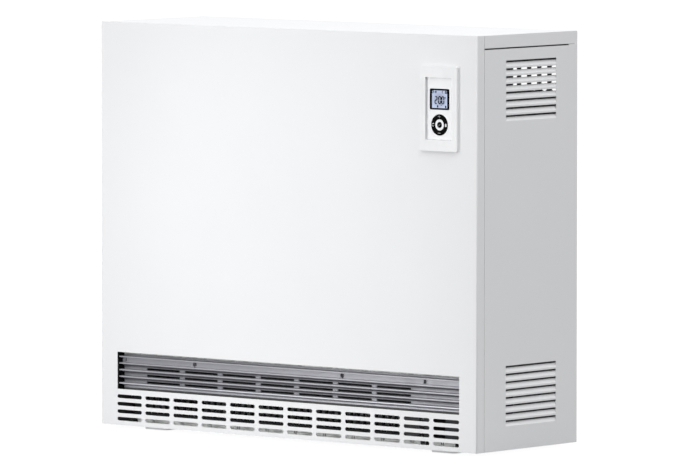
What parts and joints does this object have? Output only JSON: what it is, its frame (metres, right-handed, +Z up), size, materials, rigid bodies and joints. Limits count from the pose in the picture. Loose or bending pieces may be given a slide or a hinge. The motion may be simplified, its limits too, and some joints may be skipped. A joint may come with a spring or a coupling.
{
  "type": "storage heater",
  "caption": "Floor-standing electric storage heater: flat white steel casing over an insulated brick core, with a fan, a finned outlet grille, intake slots and a keypad controller.",
  "frame": {"origin": "on the floor, in the middle of the outline", "axes": "+X to the right seen from the front, +Y from the front face to the back, +Z up"},
  "size_m": [0.78, 0.2546, 0.656],
  "materials": {
    "casing_white": "fine powder coat, satin",
    "galvanised_sheet": "galvanised, faint spangle",
    "foot_white": "powder coat, satin",
    "screw_steel": "zinc plated",
    "grille_aluminium": "anodised, satin",
    "end_piece_black": "matt",
    "filter_grey": "matt",
    "bimetal": "satin",
    "rotor_aluminium": "satin",
    "motor_steel": "laminated, lacquered",
    "bearing_bronze": "sintered",
    "rubber_black": "matt",
    "insulation_board": "pressed mineral board",
    "storage_brick": "rough, fired",
    "element_steel": "stainless tube",
    "bush_ceramic": "unglazed",
    "circuit_board": "solder resist",
    "relay_blue": "gloss",
    "capacitor_black": "sleeved",
    "transformer_yellow": "taped winding",
    "spacer_white": "nylon",
    "cutout_black": "phenolic",
    "reset_red": "gloss",
    "frame_white": "satin, smooth",
    "box_white": "satin",
    "fascia_white": "gloss",
    "bezel_black": "gloss",
    "display_blue": "backlit, light blue",
    "key_black": "satin"
  },
  "bodies": {
    "heater": {"front_panel": "casing_white", "top_cover": "casing_white", "left_side_panel": "casing_white", "right_side_panel": "casing_white", "rear_panel": "galvanised_sheet", "base_tray": "galvanised_sheet", "left_foot": "foot_white", "right_foot": "foot_white", "casing_screws": "screw_steel", "outlet_grille": "grille_aluminium", "grille_screws": "screw_steel", "grille_end_pieces": "end_piece_black", "lint_filter": "filter_grey", "blank_plate": "filter_grey", "fan_tray": "galvanised_sheet", "outlet_duct": "galvanised_sheet", "bimetal_strip": "bimetal", "fan_housing": "galvanised_sheet", "fan_motor": "motor_steel", "fan_bearing": "bearing_bronze", "motor_mounts": "rubber_black", "sensor_bracket": "galvanised_sheet", "core_frame": "galvanised_sheet", "base_insulation": "insulation_board", "storage_bricks": "storage_brick", "heating_elements": "element_steel", "element_bushes": "bush_ceramic", "left_insulation": "insulation_board", "right_insulation": "insulation_board", "front_insulation": "insulation_board", "rear_insulation": "insulation_board", "top_insulation": "insulation_board", "inner_front_plate": "galvanised_sheet", "partition": "galvanised_sheet", "electrics_plate": "galvanised_sheet", "control_board": "circuit_board", "board_relays": "relay_blue", "board_capacitors": "capacitor_black", "board_transformer": "transformer_yellow", "board_spacers": "spacer_white", "terminal_block": "spacer_white", "safety_cutout": "cutout_black", "core_sensor": "element_steel", "room_sensor": "cutout_black", "cable_bush": "rubber_black", "control_frame": "frame_white", "control_box": "box_white", "control_fascia": "fascia_white", "display_bezel": "bezel_black", "display_screen": "display_blue", "display_board": "circuit_board", "key_switches": "capacitor_black"},
    "rotor": {"fan_rotor": "rotor_aluminium"},
    "flap": {"air_flap": "galvanised_sheet"},
    "reset": {"reset_button": "reset_red"},
    "plus_button": {"plus_key": "key_black"},
    "minus_button": {"minus_key": "key_black"},
    "mode_button": {"mode_key": "key_black"},
    "menu_button": {"menu_key": "key_black"},
    "ok_button": {"ok_key": "key_black"}
  },
  "joints": [
    {"name": "rotor_spin", "type": "hinge", "parent": "heater", "child": "rotor", "pos_m": [0, 0.02725, 0.056], "axis": [1, 0, 0], "continuous": true},
    {"name": "flap_swing", "type": "hinge", "parent": "heater", "child": "flap", "pos_m": [0, -0.03875, 0.122], "axis": [-1, 0, 0], "range_deg": [0, 45]},
    {"name": "reset_press", "type": "slide", "parent": "heater", "child": "reset", "axis": [-1, 0, 0], "range_m": [0, 0.002], "stiffness_N_per_m": 600, "springref_m": -0.0005},
    {"name": "plus_press", "type": "slide", "parent": "heater", "child": "plus_button", "axis": [0, 1, 0], "range_m": [0, 0.0006], "stiffness_N_per_m": 1500, "springref_m": -0.0003},
    {"name": "minus_press", "type": "slide", "parent": "heater", "child": "minus_button", "axis": [0, 1, 0], "range_m": [0, 0.0006], "stiffness_N_per_m": 1500, "springref_m": -0.0003},
    {"name": "mode_press", "type": "slide", "parent": "heater", "child": "mode_button", "axis": [0, 1, 0], "range_m": [0, 0.0006], "stiffness_N_per_m": 1500, "springref_m": -0.0003},
    {"name": "menu_press", "type": "slide", "parent": "heater", "child": "menu_button", "axis": [0, 1, 0], "range_m": [0, 0.0006], "stiffness_N_per_m": 1500, "springref_m": -0.0003},
    {"name": "ok_press", "type": "slide", "parent": "heater", "child": "ok_button", "axis": [0, 1, 0], "range_m": [0, 0.0006], "stiffness_N_per_m": 1500, "springref_m": -0.0003}
  ]
}
